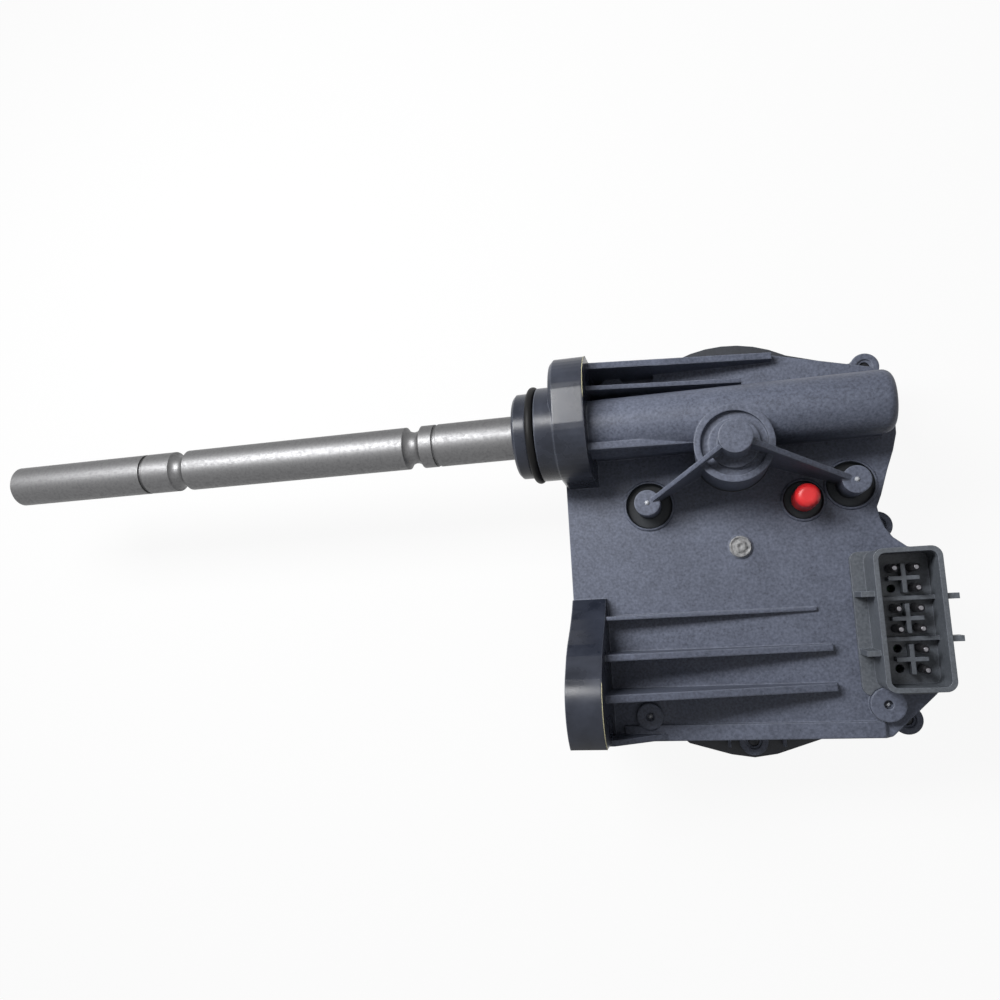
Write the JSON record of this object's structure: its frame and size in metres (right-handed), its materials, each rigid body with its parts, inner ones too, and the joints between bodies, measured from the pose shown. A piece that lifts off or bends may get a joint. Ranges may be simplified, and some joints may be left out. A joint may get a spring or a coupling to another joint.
{
  "type": "transfer case shift actuator",
  "caption": "Motor-driven shift actuator: plastic housing with a flange and pilot spigot, a long grooved steel shift shaft, a side connector and a worm and rack drive inside.",
  "frame": {"origin": "where the axis of the shift shaft meets the face of the mounting flange", "axes": "+X along the shaft from the flange face into the housing, +Y up the front face, +Z out of the front face"},
  "size_m": [0.3136, 0.1352, 0.0702],
  "materials": {
    "housing_nylon": "satin, glass-filled",
    "cover_nylon": "matte, glass-filled",
    "seal_rubber": "matte",
    "zinc_steel": "zinc plated",
    "insert_brass": "turned",
    "bush_bronze": "sintered bronze",
    "tinned_copper": "tinned",
    "circuit_board": "satin",
    "red_plastic": "semi-gloss",
    "ferrite": "ground ferrite",
    "armature_steel": "laminated, lacquered",
    "gear_steel": "machined, hardened",
    "gear_acetal": "moulded",
    "contact_brass": "bright",
    "ground_steel": "ground"
  },
  "bodies": {
    "housing": {"front_housing": "housing_nylon", "rear_cover": "cover_nylon", "cover_gasket": "seal_rubber", "cover_screws": "zinc_steel", "fixing_inserts": "insert_brass", "spigot_ring": "seal_rubber", "shaft_seal": "seal_rubber", "front_bush": "bush_bronze", "rear_bush": "bush_bronze", "connector_shell": "housing_nylon", "terminals": "tinned_copper", "terminal_board": "circuit_board", "vent_cap": "red_plastic", "motor_can": "zinc_steel", "motor_magnets": "ferrite", "motor_end_cap": "cover_nylon", "worm_bushes": "bush_bronze", "front_journal_bush": "bush_bronze", "mid_journal_bush": "bush_bronze", "back_journal_bush": "bush_bronze", "switch_board": "circuit_board", "switch_brushes": "contact_brass"},
    "shaft": {"shift_shaft": "ground_steel"},
    "pinion_train": {"wheel_gear": "gear_acetal", "spiral_spring": "gear_steel", "driven_hub": "gear_steel", "pinion_shaft": "gear_steel", "contact_disc": "contact_brass"},
    "armature": {"motor_armature": "armature_steel", "worm": "gear_steel"}
  },
  "joints": [
    {"name": "shift_slide", "type": "slide", "parent": "housing", "child": "shaft", "axis": [1, 0, 0], "range_m": [-0.012, 0.012]},
    {"name": "pinion_turn", "type": "hinge", "parent": "housing", "child": "pinion_train", "pos_m": [0.0536, -0.0098, 0], "axis": [0, 0, 1], "range_deg": [-87, 87]},
    {"name": "motor_turn", "type": "hinge", "parent": "housing", "child": "armature", "pos_m": [0.0211, -0.068, -0.03], "axis": [0, 1, 0], "range_deg": [-3800, 3800]}
  ],
  "couplings": [
    {"joint": "pinion_turn", "follows": "shift_slide", "rad_per_m": -125},
    {"joint": "motor_turn", "follows": "shift_slide", "rad_per_m": -5500}
  ]
}
